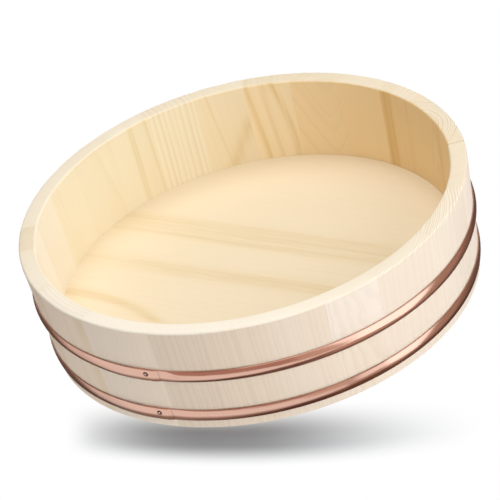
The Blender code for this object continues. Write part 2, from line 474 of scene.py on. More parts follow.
@dataclass(frozen=True)
class Timber:
    """One board's wood: where it lay in its log, and how its rings look."""

    cut: Cut = Cut.FLAT
    pith: float = 0.11
    lean: Range = (0.0, 0.0)
    ring: float = 0.0030
    contrast: float = 0.20
    tone: float = 1.0
    # above 0 the inside is painted towards honey, a painted shade on the staves that lie in shade;
    # below 0 it goes paler
    tint_and_shade: float = 0.0
    # the outer face's tint per stave: towards honey above 0, paler below 0
    outside_tint: float = 0.0
    shift: float = 0.0
    swell: float = 0.0
    season: float = 2.2
    ripple: float = 0.0
    end_grain: float = 0.5
    end_pale: float = 0.0
    streaks: tuple[Streak, ...] = ()

    def log_matrix(self, board: Matrix) -> Matrix:
        """Matrix from the tub's frame to the log's, whose Z axis is the pith.

        Args:
            board: the board's own frame: X out of its face, Y across it, Z along the grain.

        Returns:
            The matrix that a Mapping node needs.
        """
        turn = self.cut.value
        pith = Vector((-math.cos(turn), math.sin(turn), 0.0)) * self.pith
        pith.y += self.shift
        tilt = Matrix.Rotation(self.lean[0], 4, "Y") @ Matrix.Rotation(self.lean[1], 4, "X")
        return tilt @ Matrix.Translation(-pith) @ board.inverted()


@dataclass(frozen=True)
class PlanedWood:
    """Bare planed softwood: growth rings through the solid, brown streaks and fine fibres."""

    early: Colour
    late: Colour
    late_outside: Colour
    heart: Colour
    # honey: on the inside, the colour of the painted shade
    honey: Colour
    # painted light: outside and late_outside make the outer face paler and cooler than the inner
    # one, for the cool light outside and the warm bounce inside
    outside: Colour
    end_wood: Colour
    end_pale: Colour
    half_length: float
    end_depth: Range = (0.0011, 0.0003)
    skin: Range = (-0.003, 0.005)
    # the end grain goes paler towards one azimuth, over a range of radius
    end_paling: float = 0.0
    end_paling_azimuth: float = math.radians(240)
    end_paling_reach: Range = (0.05565, 0.159)
    seam: Colour = (0.42, 0.26, 0.11)
    seam_depth: float = 0.75
    seam_core: float = 0.4
    # painted shade: a dark line where the floor meets the wall, strongest on the +X side, which
    # lies in shade
    corner: Range | None = None
    corner_shade_side: Range = (0.0, 0.10)
    corner_shade_depth: float = 0.6
    cloud_brown: float = 0.06
    cloud_share: Range = (0.5, 0.8)
    fleck_brown: float = 0.10
    fleck_share: Range = (0.68, 0.80)
    late_rise: Range = (0.30, 0.86)
    late_fall: Range = (0.88, 1.0)
    weak_year: float = 0.4
    warp: float = 0.006
    seasons: float = 95.0
    drifts: Noise = Noise((17.0, 17.0, 5.0), 3.0)
    ripples: Noise = Noise((70.0, 70.0, 60.0))
    fibres: Noise = Noise((1700.0, 1700.0, 30.0), 2.0, 0.6)
    clouds: Noise = Noise((24.0, 24.0, 4.0), 3.0)
    patches: Noise = Noise((110.0, 110.0, 22.0), 3.0, 0.6)
    flecks: Noise = Noise((700.0, 700.0, 19.0), 1.0, 0.4)
    sway: Range = (0.005, 0.002)
    streak_mix: Triple = (0.35, 0.3, 1.1)
    streak_end: float = 0.75
    mottle: float = 0.05
    roughness: float = 0.55
    fibre_rough: float = 0.14
    grain_smooth: float = 0.10
    specular: float = 0.3
    raised: Range = (0.7, 0.6)
    relief: Range = (0.00010, 0.30)

    def tinted(self, colour: Colour, tint_and_shade: float) -> Colour:
        """Carry a colour as early wood goes towards honey or, below 0, towards the pale end colour;
        on the inside, going towards honey is painted shade.
        """
        goal = self.honey if tint_and_shade > 0 else self.end_pale
        return tuple(c + abs(tint_and_shade) * (g - e) for c, g, e in zip(colour, goal, self.early))

    def mapped(self, graph: MaterialGraph, matrix: Matrix) -> Signal:
        """Carry object coordinates through a matrix."""
        values = {"Location": matrix.translation, "Rotation": matrix.to_euler()}
        return graph.node("ShaderNodeMapping", None, {**values, "Vector": graph.place()})

    def rings(self, graph: MaterialGraph, timber: Timber, log: Signal) -> tuple[Signal, Signal]:
        """Growth rings round the pith.

        Args:
            graph: the wood's nodes.
            timber: where the board lay in its log.
            log: coordinates in the log.

        Returns:
            How far each point is into the late wood of its year, and how strong that year is.
        """
        drift = graph.noise(log, self.drifts).output("Color")
        drift = graph.vector("SUBTRACT", drift, (0.5, 0.5, 0.5))
        drift = graph.vector("MULTIPLY", drift, (self.warp, self.warp, 0.0))
        across = graph.vector("MULTIPLY", log, (1.0, 1.0, 0.0))
        radius = graph.length(graph.vector("ADD", across, drift))
        if timber.swell:
            radius = radius + timber.swell * graph.separate(log)[2]
        if timber.ripple:
            radius = radius + timber.ripple * (graph.noise(log, self.ripples) - 0.5)
        line = {"noise_dimensions": "1D"}
        season = graph.node("ShaderNodeTexNoise", line, {"W": radius, "Scale": self.seasons})
        phase = radius / timber.ring + timber.season * season
        share = phase.maths("FRACT")
        strength = graph.node("ShaderNodeTexWhiteNoise", line, {"W": phase.maths("FLOOR")})
        late = share.ramp(*self.late_rise) * (1.0 - share.ramp(*self.late_fall))
        return late, self.weak_year + (1.0 - self.weak_year) * strength

    def material(
        self, name: str, timber: Timber, board: Matrix, seam: Range | None = None
    ) -> bpy.types.Material:
        """Make the wood of one board.

        Args:
            name: the material's name.
            timber: where the board lay in its log.
            board: the board's own frame.
            seam: azimuth of a dark joint and its width.

        Returns:
            The material.
        """
        graph = MaterialGraph(name)
        x, y, _ = graph.separate(graph.place())
        log = self.mapped(graph, timber.log_matrix(board))
        face, across, along = graph.separate(self.mapped(graph, board.inverted()))
        late, strength = self.rings(graph, timber, log)
        fibre = graph.noise(log, self.fibres)
        cloud = graph.noise(log, self.clouds)
        patch = graph.noise(log, self.patches)
        fleck = graph.noise(log, self.flecks).ramp(*self.fleck_share)
        end = abs(along).ramp(*(self.half_length - depth for depth in self.end_depth))
        outer = face.ramp(*self.skin)

        # end grain paler towards one azimuth
        towards_paling = x * math.cos(self.end_paling_azimuth) + y * math.sin(self.end_paling_azimuth)
        bare = Vector(self.end_wood).lerp(Vector(self.end_pale), timber.end_pale)
        ends = graph.mix(self.end_paling * towards_paling.ramp(*self.end_paling_reach), tuple(bare), self.end_pale)
        # painted shade: the inner face of the staves in shade goes towards honey
        inside = self.tinted(self.early, timber.tint_and_shade)
        # painted light: the outer face is paler and cooler than the inner one
        outside = self.tinted(self.outside, timber.outside_tint)
        colour = graph.mix(end, graph.mix(outer, inside, outside), ends)
        grain = late * strength * timber.contrast * (1.0 + timber.end_grain * end)
        colour = graph.mix(grain, colour, graph.mix(outer, self.late, self.late_outside))

        wavy = across + self.sway[0] * (cloud - 0.5) + self.sway[1] * (patch - 0.5)
        even, by_late, by_patch = self.streak_mix
        brown = cloud.ramp(*self.cloud_share) * self.cloud_brown + self.fleck_brown * fleck
        for streak in timber.streaks:
            depth = (even + by_late * late + by_patch * patch) * (1.0 - self.streak_end * end)
            brown = brown + streak.mask(wavy, along) * depth
        # painted shade in the corner where the floor meets the wall
        if self.corner:
            radius = (x * x + y * y).maths("SQRT")
            line = radius.ramp(*self.corner) * x.ramp(*self.corner_shade_side)
            brown = brown + self.corner_shade_depth * line
        heart = graph.vector("MULTIPLY", colour, self.heart)
        colour = graph.mix(brown.maths("MINIMUM", 1.0), colour, heart)
        if seam:
            azimuth, width = seam
            off = y * math.cos(azimuth) - x * math.sin(azimuth)
            shut = 1.0 - off.ramp(self.seam_core * width, width)
            colour = graph.mix(self.seam_depth * shut, colour, self.seam)

        tone = timber.tone + (1.0 - timber.tone) * end
        value = tone * (1.0 + self.mottle * (fibre - 0.5) + self.mottle * (cloud - 0.5))
        colour = graph.node("ShaderNodeHueSaturation", None, {"Color": colour, "Value": value})
        rough = self.roughness + self.fibre_rough * (fibre - 0.5) - self.grain_smooth * grain
        graph.shade(Base_Color=colour, Roughness=rough, Specular_IOR_Level=self.specular)
        graph.relief(self.raised[0] * fibre + self.raised[1] * late, *self.relief)
        return graph.material


@dataclass(frozen=True)
class Strip:
    """Where a strip of copper runs, as its finish needs to know it.

    The slope is the height that it gains for each metre along X and Y. Painted shade darkens its
    lower side from a place between -1 and 1 across it, and darkens it between two azimuths.
    """

    nails: tuple[Vector, ...]
    height: float = 0.0
    width: float = 1.0
    slope: Range = (0.0, 0.0)
    soil: float = -0.2
    dulled: Range | None = None


@dataclass(frozen=True)
class SatinCopper:
    """Rolled copper with draw lines along the strip, slight waves, patina blooms and painted shade:
    on its lower side, along its upper edge, over a span and round the nails.
    """

    bright: Colour
    # dark colour of the patina blooms and of the painted shade
    dull: Colour
    # painted shade round each nail's head
    nail_ring_shade: Colour
    nail_ring_shade_reach: Range
    # painted shade along the upper edge, which fades in between these distances from the nail
    edge_shade_from_nail: Range = (0.020, 0.055)
    upper_edge: Range = (0.84, 0.98)
    upper_edge_shade: float = 0.5
    # painted shade on the lower side of the strip
    soil_width: float = 0.6
    soil_wear: float = 0.92
    bloom_share: Range = (0.48, 0.80)
    bloom_wear: float = 0.10
    # painted shade over a span of azimuths, which holds back the start of a highlight
    dulled_wear: float = 0.35
    dulled_start: float = 0.05
    dulled_end: float = 0.03
    lines: Noise = Noise((9.0, 2400.0, 2400.0), 2.0, 0.6)
    waves: Noise = Noise((7.0, 330.0, 0.0), 2.0, 0.4)
    blooms: Noise = Noise((11.0, 190.0, 190.0), 4.0, 0.6)
    roughness: float = 0.18
    line_rough: float = 0.08
    wear_rough: float = 0.10
    line_relief: float = 0.12
    relief: Range = (0.00025, 0.4)

    def from_nail(self, graph: MaterialGraph, nails: tuple[Vector, ...]) -> Signal:
        """Measure how far the nearest nail is.

        Args:
            graph: the copper's nodes.
            nails: where the nails' heads sit.

        Returns:
            The distance in metres.
        """
        nearest, *others = [
            graph.length(graph.vector("SUBTRACT", graph.place(), tuple(nail))) for nail in nails
        ]
        for distance in others:
            nearest = nearest.maths("MINIMUM", distance)
        return nearest

    def material(self, name: str, strip: Strip) -> bpy.types.Material:
        """Make the copper of one hoop or of the nails.

        Args:
            name: the material's name.
            strip: where the copper runs.

        Returns:
            The material.
        """
        graph = MaterialGraph(name)
        x, y, z = graph.separate(graph.place())
        azimuth = y.maths("ARCTAN2", x)
        unrolled = graph.combine(azimuth, z, (x * x + y * y).maths("SQRT"))
        lines = graph.noise(unrolled, self.lines)
        waves = graph.noise(unrolled, self.waves)
        bloom = graph.noise(unrolled, self.blooms)
        from_nail = self.from_nail(graph, strip.nails)
        middle = z - strip.height - x * strip.slope[0] - y * strip.slope[1]
        aside = middle / (strip.width / 2)
        # random patina blooms, then painted shade along the upper edge, on the lower side and over
        # a span
        wear_and_shade = bloom.ramp(*self.bloom_share) * self.bloom_wear
        wear_and_shade = wear_and_shade + self.upper_edge_shade * from_nail.ramp(*self.edge_shade_from_nail) * aside.ramp(*self.upper_edge)
        wear_and_shade = wear_and_shade + self.soil_wear * aside.ramp(strip.soil, strip.soil - self.soil_width)
        # painted shade over the span, where the highlight is held back
        if strip.dulled:
            start, stop = strip.dulled
            begun = azimuth.ramp(start - self.dulled_start, start)
            ended = azimuth.ramp(stop - self.dulled_end, stop + self.dulled_end)
            wear_and_shade = wear_and_shade + self.dulled_wear * begun * (1.0 - ended)
        wear_and_shade = wear_and_shade.maths("MINIMUM", 1.0)
        colour = graph.mix(wear_and_shade, self.bright, self.dull)
        # painted shade round the nail's head
        colour = graph.mix(from_nail.ramp(*self.nail_ring_shade_reach), colour, self.nail_ring_shade)
        rough = self.roughness + self.line_rough * (lines - 0.5) + self.wear_rough * wear_and_shade
        graph.shade(Base_Color=colour, Metallic=1.0, Roughness=rough)
        graph.relief(self.line_relief * lines + waves, *self.relief)
        return graph.material


@dataclass(frozen=True)
class SplitBamboo:
    """Split bamboo for the hidden pegs: straight close fibres."""

    pale: Colour
    dark: Colour
    fibres: Noise = Noise((900.0, 900.0, 900.0), 3.0, 0.6)
    fibre_share: Range = (0.35, 0.7)
    roughness: float = 0.5
    fibre_rough: float = 0.2

    def material(self, name: str) -> bpy.types.Material:
        """Make the bamboo of all the pegs.

        Args:
            name: the material's name.

        Returns:
            The material.
        """
        graph = MaterialGraph(name)
        fibre = graph.noise(graph.place(), self.fibres)
        colour = graph.mix(fibre.ramp(*self.fibre_share), self.pale, self.dark)
        rough = self.roughness + self.fibre_rough * (fibre - 0.5)
        graph.shade(Base_Color=colour, Roughness=rough)
        return graph.material


STAVE_WOOD = PlanedWood(
    early=(0.89, 0.79, 0.575),
    late=(0.68, 0.47, 0.25),
    late_outside=(0.50, 0.40, 0.31),
    heart=(0.74, 0.59, 0.22),
    honey=(0.92, 0.563, 0.189),
    outside=(0.835, 0.72, 0.60),
    end_wood=(0.845, 0.74, 0.575),
    end_pale=(0.95, 0.88, 0.77),
    half_length=0.0431,
    end_paling=0.55,
)
FLOOR_WOOD = PlanedWood(
    early=(0.83, 0.70, 0.50),
    late=(0.68, 0.47, 0.25),
    late_outside=(0.62, 0.46, 0.26),
    heart=(0.79, 0.66, 0.36),
    honey=(0.86, 0.48, 0.12),
    outside=(0.83, 0.70, 0.50),
    end_wood=(0.83, 0.70, 0.50),
    end_pale=(0.83, 0.70, 0.50),
    half_length=1.0,
    # the painted shade line where the floor meets the wall
    corner=(0.1466, 0.1478),
    warp=0.010,
)
HOOP_COPPER = SatinCopper(
    bright=(0.80, 0.49, 0.385),
    dull=(0.22, 0.095, 0.06),
    nail_ring_shade=(0.12, 0.055, 0.035),
    nail_ring_shade_reach=(0.0023, 0.0016),
)
NAIL_COPPER = SatinCopper(
    bright=(0.95, 0.72, 0.58),
    dull=(0.75, 0.48, 0.36),
    nail_ring_shade=(0.12, 0.055, 0.035),
    nail_ring_shade_reach=(0.0007, 0.0011),
    roughness=0.48,
)
PEG_BAMBOO = SplitBamboo(pale=(0.66, 0.50, 0.26), dark=(0.46, 0.32, 0.13))


@dataclass
class StaveRing:
    """The wall: planed staves of mixed widths, flush with each other."""

    rim_radius: float = 0.165
    base_radius: float = 0.1585
    height: float = 0.0862
    wall: float = 0.0124
    rim_round: float = 0.0015
    foot_round: float = 0.0010
    floor_height: float = 0.0228
    groove_depth: float = 0.0038
    groove_foot: float = 0.0114
    joint_gap: float = 0.000005
    facet: float = math.radians(0.75)
    round_points: int = 6
    names: list[str] = field(default_factory=list)
    stock: dict[str, Timber] = field(default_factory=dict)
    open_joints: dict[str, float] = field(default_factory=dict)
    seams: dict[str, float] = field(default_factory=dict)

    @property
    def taper(self) -> float:
        """Radius that the wall gains for each metre of height."""
        return (self.rim_radius - self.base_radius) / self.height

    def outer(self, z: float) -> float:
        """Outer radius of the wall at a height."""
        return self.base_radius + self.taper * z

    def span(self, name: str) -> Range:
        """Find where a stave starts and ends, half of the solids' gap past its solid.

        Args:
            name: the stave's solid.

        Returns:
            The two azimuths.
        """
        low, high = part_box(name)
        middle = math.atan2(low.y + high.y, low.x + high.x)
        turns = [
            math.remainder(math.atan2(p.y, p.x) - middle, 2 * math.pi) for p in node_points(name)
        ]
        clearance = HALF_SOLID_GAP / self.rim_radius
        return middle + min(turns) - clearance, middle + max(turns) + clearance

    def board(self, start: float, end: float) -> Matrix:
        """Lay out a stave's own frame: X out of its face, Y across it and Z up along its slope.

        Args:
            start: azimuth at which the stave starts.
            end: azimuth at which it ends.

        Returns:
            The frame as a matrix.
        """
        middle = (start + end) / 2
        z = self.height / 2
        radius = self.outer(z) - self.wall / 2
        place = Matrix.Translation((radius * math.cos(middle), radius * math.sin(middle), z))
        lean = Matrix.Rotation(math.atan(self.taper), 4, "Y")
        return place @ Matrix.Rotation(middle, 4, "Z") @ lean

    def recipe(self) -> Recipe:
        """Build the tree that sweeps the wall's section along a stave's arc.

        Returns:
            The recipe, with a stave's azimuths and facets as its inputs.
        """
        recipe = Recipe("stave")
        start, sweep = recipe.sizes("start", "sweep")
        facets = recipe.named("facets", "Int")
        rim, base, height, wall = recipe.sizes("rim_radius", "base_radius", "height", "wall")
        floor, depth, foot = recipe.sizes("floor_height", "groove_depth", "groove_foot")
        rim_round, foot_round = recipe.sizes("rim_round", "foot_round")
        slope = (rim - base) / height
        zero = rim - rim

        def corner(inset: Signal, z: Signal) -> Signal:
            """A corner of the section, measured in from the outer face at its height."""
            return recipe.combine(base + slope * z - inset - rim, 0.0 - z)

        corners = [
            (corner(wall, zero), foot_round),
            (corner(zero, zero), foot_round),
            (corner(zero, height), rim_round),
            (corner(wall, height), rim_round),
            (corner(wall, floor), zero),
            (corner(wall - depth, floor), zero),
            (corner(wall - depth, foot + depth), zero),
            (corner(wall, foot), zero),
        ]
        index = recipe.shape("InputIndex")
        place, radius = (
            recipe.node(
                "GeometryNodeIndexSwitch",
                {"data_type": kind, "items": len(corners)},
                {0: index, **{i + 1: values[part] for i, values in enumerate(corners)}},
            )
            for part, kind in enumerate(("VECTOR", "FLOAT"))
        )
        points = recipe.shape("Points", Count=len(corners), Position=place)
        line = recipe.shape("PointsToCurves", Points=points)
        loop = recipe.shape("SetSplineCyclic", Geometry=line, Cyclic=True)
        rounding = {"Count": self.round_points, "Radius": radius, "Limit_Radius": True}
        section = recipe.shape("FilletCurve", {"mode": "POLY"}, Curve=loop, **rounding)
        turning = {"Resolution": facets, "Start_Angle": start, "Sweep_Angle": sweep}
        arc = recipe.shape("CurveArc", {"mode": "RADIUS"}, Radius=rim, **turning)
        path = recipe.shape("SetCurveNormal", {"mode": "Z_UP"}, Curve=arc)
        recipe.deliver(
            recipe.shape("CurveToMesh", Curve=path, Profile_Curve=section, Fill_Caps=True)
        )
        return recipe

    def build(self) -> None:
        """Make every stave and let it stand for its solid."""
        recipe = self.recipe()
        gap = self.joint_gap / self.rim_radius
        for name in self.names:
            start, end = self.span(name)
            seam = (start, self.seams[name]) if name in self.seams else None
            board = self.board(start, end)
            wood = STAVE_WOOD.material(f"{name}_wood", self.stock[name], board, seam)
            opening = self.open_joints.get(name, 0.0) / self.rim_radius
            piece = recipe.run(
                f"planed_{name}",
                wood,
                self,
                start=start + gap,
                sweep=end - start - 2 * gap - opening,
                facets=math.ceil((end - start) / self.facet) + 1,
            )
            stand_for(piece, "stave_wood", name)


@dataclass
class BoardedBottom:
    """The floor of the tub: boards laid edge to edge along the grain."""

    top: float = 0.0228
    thickness: float = 0.013
    bevel: float = 0.006
    edge_radius: float = 0.1514
    azimuth: float = math.radians(-35.5)
    facets: int = 360
    joint_gap: float = 0.00006
    stock: dict[str, Timber] = field(default_factory=dict)

    def disc(self) -> bmesh.types.BMesh:
        """Make the whole bottom before it is sawn into boards.

        Returns:
            A closed disc with a bevelled lower edge.
        """
        underside = self.top - self.thickness
        rings = (
            (self.edge_radius - self.bevel, underside),
            (self.edge_radius, underside + self.bevel),
            (self.edge_radius, self.top),
        )
        bm = bmesh.new()
        turns = [2 * math.pi * i / self.facets for i in range(self.facets)]
        loops = [
            [bm.verts.new((radius * math.cos(t), radius * math.sin(t), z)) for t in turns]
            for radius, z in rings
        ]
        for lower, upper in zip(loops, loops[1:]):
            for i in range(self.facets):
                j = (i + 1) % self.facets
                bm.faces.new((lower[i], lower[j], upper[j], upper[i]))
        bm.faces.new(loops[0])
        bm.faces.new(loops[-1])
        bmesh.ops.recalc_face_normals(bm, faces=bm.faces)
        return bm

    def saw(self, bm: bmesh.types.BMesh, across: Vector, distance: float) -> None:
        """Saw along a joint and keep one side.

        Args:
            bm: what is sawn.
            across: direction that points out of the kept side.
            distance: how far along it the joint is from the tub's axis.
        """
        everything = bm.verts[:] + bm.edges[:] + bm.faces[:]
        sawn = bmesh.ops.bisect_plane(
            bm, geom=everything, plane_co=across * distance, plane_no=across, clear_outer=True
        )
        edges = [item for item in sawn["geom_cut"] if isinstance(item, bmesh.types.BMEdge)]
        bmesh.ops.contextual_create(bm, geom=edges)

    def build(self) -> None:
        """Make every board and let it stand for its solid."""
        along = bearing(self.azimuth)
        across = Vector((-along.y, along.x, 0.0))
        widening = HALF_SOLID_GAP - self.joint_gap / 2
        for name, timber in self.stock.items():
            reach = [point.dot(across) for point in node_points(name)]
            low, high = min(reach), max(reach)
            bm = self.disc()
            if high < self.edge_radius - self.bevel:
                self.saw(bm, across, high + widening)
            if low > self.bevel - self.edge_radius:
                self.saw(bm, -across, widening - low)
            mesh = mesh_from(name, bm)
            middle = across * (low + high) / 2 + Vector((0.0, 0.0, self.top))
            turned = Matrix(((0, -across.x, along.x), (0, -across.y, along.y), (1, 0, 0)))
            board = Matrix.Translation(middle) @ turned.to_4x4()
            mesh.materials.append(FLOOR_WOOD.material(f"{name}_wood", timber, board))
            stand_for(place_piece(f"planed_{name}", mesh), "bottom_wood", name)


@dataclass
class CopperHoop:
    """A crowned strip round the wall whose feathered free end laps over its start."""

    LAP_STATIONS = (0.16, 0.80)
    LAP_REACH = 1.1
    SQUARENESS = 10.0
    DENT_CORE = 0.55

    height: float
    width: float
    thickness: float = 0.0008
    crown: float = 0.0013
    pressed: float = 0.00012
    pressed_length: float = 0.050
    rise_length: float = 0.016
    lap_under: float = 0.012
    lap_over: float = 0.010
    lap_ramp: float = 0.040
    feather: float = 0.12
    feather_length: float = 0.005
    dent: float = 0.00045
    dent_radius: float = 0.0024
    gap: float = 0.00010
    splay: float = 0.0
    # where the painted shade on the lower side starts, and a span of azimuths painted darker
    soil: float = -0.2
    dulled: Range | None = None
    lean: float = 0.0
    lean_azimuth: float = math.radians(200)
    nail_azimuth: float = NAIL_AZIMUTH
    nail_rise: float = 0.001
    stations: int = 800
    section_points: int = 52

    @classmethod
    def on(cls, name: str, **sizes: float | Range) -> "CopperHoop":
        """A hoop as high up and as wide as its solid."""
        low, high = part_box(name)
        return cls((low.z + high.z) / 2, high.z - low.z, **sizes)

    def nail(self, ring: StaveRing) -> Vector:
        """Find where the nail's head sits on the lap.

        Args:
            ring: the wall that the hoop is on.

        Returns:
            The middle of the head's underside.
        """
        turn = self.nail_azimuth
        z = self.height + self.lean * math.cos(turn - self.lean_azimuth) + self.nail_rise
        radius = ring.outer(z) + 2 * (self.gap + self.thickness) + self.pressed - self.dent
        return Vector((radius * math.cos(turn), radius * math.sin(turn), z))

    def strip(self, ring: StaveRing) -> Strip:
        """Where the hoop runs, for its finish."""
        slope = tuple(bearing(self.lean_azimuth).xy * (self.lean / ring.outer(self.height)))
        return Strip((self.nail(ring),), self.height, self.width, slope, self.soil, self.dulled)

    def recipe(self) -> Recipe:
        """Build the tree that bends a flat grid into the lapped, crowned strip.

        Returns:
            The recipe, with the strip's sizes as its inputs.
        """
        recipe = Recipe("copper_hoop")
        height, width, thickness = recipe.sizes("height", "width", "thickness")
        crown, pressed, pressed_length = recipe.sizes("crown", "pressed", "pressed_length")
        under, over, ramp = recipe.sizes("lap_under", "lap_over", "lap_ramp")
        rise_length, dent, dent_radius = recipe.sizes("rise_length", "dent", "dent_radius")
        feather, feather_length, gap = recipe.sizes("feather", "feather_length", "gap")
        splay, lean, lean_azimuth = recipe.sizes("splay", "lean", "lean_azimuth")
        nail, nail_rise = recipe.sizes("nail_azimuth", "nail_rise")
        radius, taper = recipe.sizes("wall_radius", "wall_taper")
        counts = {"Vertices_X": self.stations, "Vertices_Y": self.section_points}
        grid = recipe.shape("MeshGrid", Size_X=1.0, Size_Y=1.0, **counts)
        u, v, _ = recipe.separate(recipe.shape("InputPosition"))
        u, v = u + 0.5, v + 0.5

        turn = 2 * math.pi * radius
        total = turn + over + under
        near = self.LAP_REACH * pressed_length
        first, last = self.LAP_STATIONS
        run = (
            near * u.ramp(0.0, first, False)
            + (total - 2 * near) * u.ramp(first, last, False)
            + near * u.ramp(last, 1.0, False)
        )
        travelled = run - under
        azimuth = nail + travelled / radius
        to_nail = abs(travelled).maths("MINIMUM", abs(travelled - turn))
        climb = travelled.ramp(turn - under - ramp - gap, turn - under - gap)

        around = math.pi / 2 * (4.0 * abs(v - 0.5) - 1.0)
        across = around.maths("SINE")
        side = 1.0 - 2.0 * v.maths("GREATER_THAN", 0.5)
        edge = (1.0 - abs(across) ** self.SQUARENESS) ** (1.0 / self.SQUARENESS)
        aside = across * width / 2
        off_nail = aside - nail_rise
        from_nail = (to_nail * to_nail + off_nail * off_nail).maths("SQRT")
        lifted = aside + lean * (azimuth - lean_azimuth).maths("COSINE")

        rise = travelled.ramp(over, over + rise_length)
        rise = rise * (turn - travelled).ramp(0.0, pressed_length)
        bulge = pressed + (crown - pressed) * rise
        sunk = dent * (1.0 - from_nail.ramp(self.DENT_CORE * dent_radius, dent_radius))
        to_end = total - run
        half = thickness / 2 * (feather + (1.0 - feather) * to_end.ramp(0.0, feather_length))
        from_end = run.maths("MINIMUM", to_end)
        cap = (1.0 - (1.0 - from_end.ramp(0.0, half, False)) ** 2.0) ** 0.5
        out = radius + taper * lifted + splay * (aside + width / 2) + gap
        out = out + climb * (thickness + gap) + bulge * (1.0 - across * across)
        out = out - sunk + half + half * side * edge * cap
        place = recipe.combine(
            out * azimuth.maths("COSINE"), out * azimuth.maths("SINE"), height + lifted
        )
        bent = recipe.shape("SetPosition", Geometry=grid, Position=place)
        recipe.deliver(recipe.shape("MergeByDistance", Geometry=bent, Distance=MERGE))
        return recipe

    def build(self, name: str, ring: StaveRing) -> None:
        """Make the hoop and let it stand for its solid.

        Args:
            name: the hoop's solid.
            ring: the wall that it is on.
        """
        copper = HOOP_COPPER.material(f"{name}_copper", self.strip(ring))
        wall = {"wall_radius": ring.outer(self.height), "wall_taper": ring.taper}
        piece = self.recipe().run(f"crowned_{name}", copper, self, **wall)
        stand_for(piece, "hoop_copper", name)


@dataclass
class HoopNails:
    """The dome-headed nails that hold the laps of the hoops."""

    names: tuple[str, str] = ("upper_hoop_nail", "lower_hoop_nail")
    head: float = 0.0029
    dome: float = 0.0006
    shank: float = 0.0015
    length: float = 0.008
    azimuth: float = NAIL_AZIMUTH
    segments: int = 32

    def recipe(self) -> Recipe:
        """Build the tree that sets one nail on each seat.

        Returns:
            The recipe, with the two seats and the nail's sizes as its inputs.
        """
        recipe = Recipe("hoop_nail")
        first, step = (recipe.named(name, "Vector") for name in ("first_seat", "step"))
        turn = recipe.named("turn", "Rotation")
        head, dome, shank, length = recipe.sizes("head", "dome", "shank", "length")
        half = self.segments // 2
        ball = recipe.shape("MeshUVSphere", Segments=self.segments, Rings=half, Radius=head / 2)
        x, y, z = recipe.separate(recipe.shape("InputPosition"))
        domed = recipe.combine(x, y, z.maths("MAXIMUM", 0.0) * dome / (head / 2))
        cap = recipe.shape("SetPosition", Geometry=ball, Position=domed)
        rod = recipe.shape("MeshCylinder", Vertices=half, Radius=shank / 2, Depth=length)
        drop = recipe.combine(0.0, 0.0, length * -0.5)
        rod = recipe.shape("Transform", Geometry=rod, Translation=drop)
        nail = recipe.shape("JoinGeometry", Geometry=cap)
        recipe.feed(nail.socket.node.inputs["Geometry"], rod)
        line = {"Count": len(self.names), "Start_Location": first, "Offset": step}
        seats = recipe.shape("MeshLine", {"mode": "OFFSET"}, **line)
        recipe.deliver(
            recipe.shape("InstanceOnPoints", Points=seats, Instance=nail, Rotation=turn)
        )
        return recipe

    def build(self, ring: StaveRing, hoops: tuple[CopperHoop, CopperHoop]) -> None:
        """Make both nails and let them stand for their solids.

        Args:
            ring: the wall.
            hoops: the hoops whose laps they hold, in the order of the names.
        """
        outwards = bearing(self.azimuth, -math.atan(ring.taper))
        seats = tuple(hoop.nail(ring) for hoop in hoops)
        copper = NAIL_COPPER.material("nail_copper", Strip(seats))
        piece = self.recipe().run(
            "domed_hoop_nails",
            copper,
            self,
            first_seat=seats[0],
            step=seats[1] - seats[0],
            turn=outwards.to_track_quat("Z", "Y").to_euler(),
        )
        stand_for(piece, "nail_copper", *self.names)


@dataclass
class JointPegs:
    """The pegs hidden in the joints, which keep their solids."""

    mark: str = "_peg_"

    def dress(self) -> None:
        """Give the pegs their bamboo."""
        bamboo = PEG_BAMBOO.material("peg_bamboo")
        for name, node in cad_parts.items():
            if self.mark in name:
                node.data.materials.clear()
                node.data.materials.append(bamboo)
                LOG.info("%s keeps its solid, in bamboo", name)


@dataclass(frozen=True)
class Softbox:
    """A square soft light that faces the tub, at an azimuth and elevation in degrees."""

    name: str
    azimuth: float
    elevation: float
    power: float
    size: float = 1.3
    far: float = 1.8
    mirrored: bool = True

    def hang(self, aim: float) -> None:
        """Hang the light so that it faces the tub's axis.

        Args:
            aim: height on the axis that it faces.
        """
        data = bpy.data.lights.new(self.name, "AREA")
        data.shape = "SQUARE"
        data.size = self.size
        data.energy = self.power
        light = add(self.name, data)
        towards = bearing(math.radians(self.azimuth), math.radians(self.elevation))
        light.location = towards * self.far + Vector((0.0, 0.0, aim))
        light.rotation_euler = towards.to_track_quat("Z", "Y").to_euler()
        light.visible_glossy = self.mirrored


